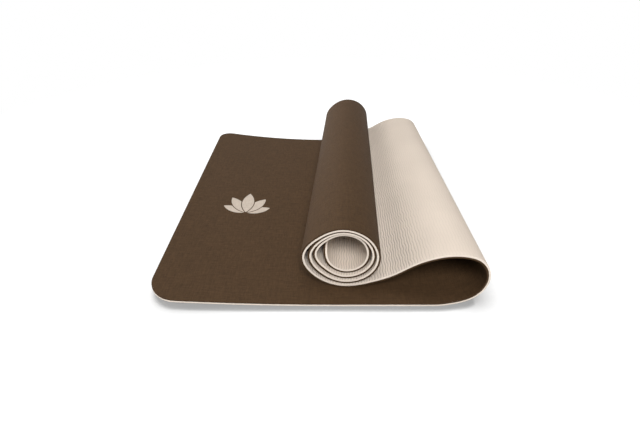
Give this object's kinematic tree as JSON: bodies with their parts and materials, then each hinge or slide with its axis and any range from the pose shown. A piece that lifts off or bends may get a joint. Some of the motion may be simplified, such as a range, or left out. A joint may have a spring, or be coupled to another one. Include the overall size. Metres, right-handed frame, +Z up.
{
  "type": "yoga mat",
  "caption": "Brown and beige foam exercise mat, half unrolled: a flat run with rounded corners folds back over itself in a teardrop loop and ends in a loose spiral roll.",
  "frame": {"origin": "on the floor, under the middle of the roll and halfway across the mat's width", "axes": "+Y across the mat, along the roll; +X from the mat's free end towards the fold; +Z up"},
  "size_m": [0.5408, 0.6598, 0.1258],
  "materials": {
    "beige_foam": "matte foam with fine wavy ribs across the mat",
    "brown_foam": "matte foam with a fine linen-like grain"
  },
  "bodies": {
    "root": {"base_layer": "beige_foam", "top_layer": "brown_foam"}
  },
  "joints": []
}
